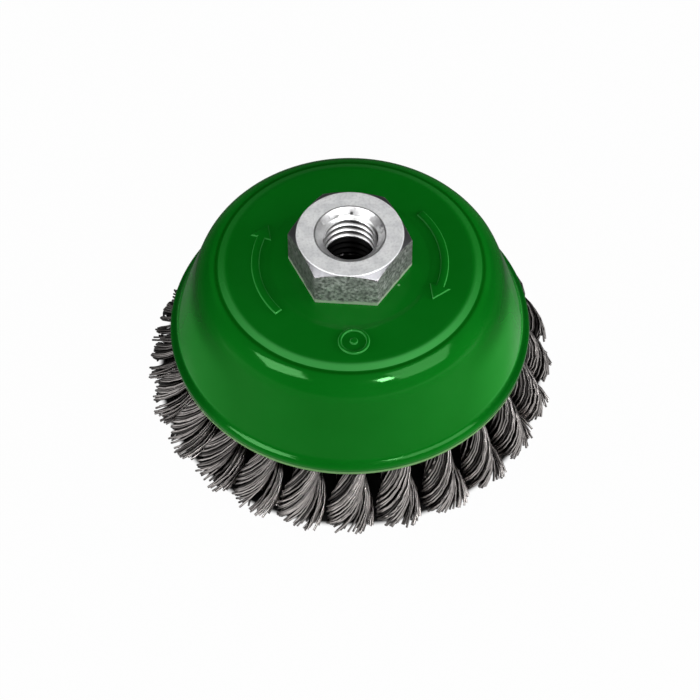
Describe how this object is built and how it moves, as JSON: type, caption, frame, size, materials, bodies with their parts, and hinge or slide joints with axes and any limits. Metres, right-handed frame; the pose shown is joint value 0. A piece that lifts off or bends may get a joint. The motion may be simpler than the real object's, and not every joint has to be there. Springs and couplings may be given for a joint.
{
  "type": "wire cup brush",
  "caption": "Twisted-knot wire cup brush: a ring of steel wire knots leans out of a painted pressed cup with a threaded hexagonal hub for an angle grinder.",
  "frame": {"origin": "on the brush's axis in the plane of the wire tips", "axes": "+Z along the axis from the wire tips to the hub; -Y towards the viewer of the picture"},
  "size_m": [0.1, 0.1, 0.0525],
  "materials": {
    "cup_paint": "gloss green enamel on pressed steel",
    "hub_steel": "turned face with rough forged flats",
    "plate_steel": "bright zinc-plated sheet",
    "wire_steel": "drawn carbon steel wire"
  },
  "bodies": {
    "root": {"cup": "cup_paint", "hub_nut": "hub_steel", "knot_plate": "plate_steel", "support_plate": "plate_steel", "knot_01": "wire_steel", "knot_02": "wire_steel", "knot_03": "wire_steel", "knot_04": "wire_steel", "knot_05": "wire_steel", "knot_06": "wire_steel", "knot_07": "wire_steel", "knot_08": "wire_steel", "knot_09": "wire_steel", "knot_10": "wire_steel", "knot_11": "wire_steel", "knot_12": "wire_steel", "knot_13": "wire_steel", "knot_14": "wire_steel", "knot_15": "wire_steel", "knot_16": "wire_steel", "knot_17": "wire_steel", "knot_18": "wire_steel", "knot_19": "wire_steel", "knot_20": "wire_steel", "knot_21": "wire_steel", "knot_22": "wire_steel", "knot_23": "wire_steel", "knot_24": "wire_steel"}
  },
  "joints": []
}
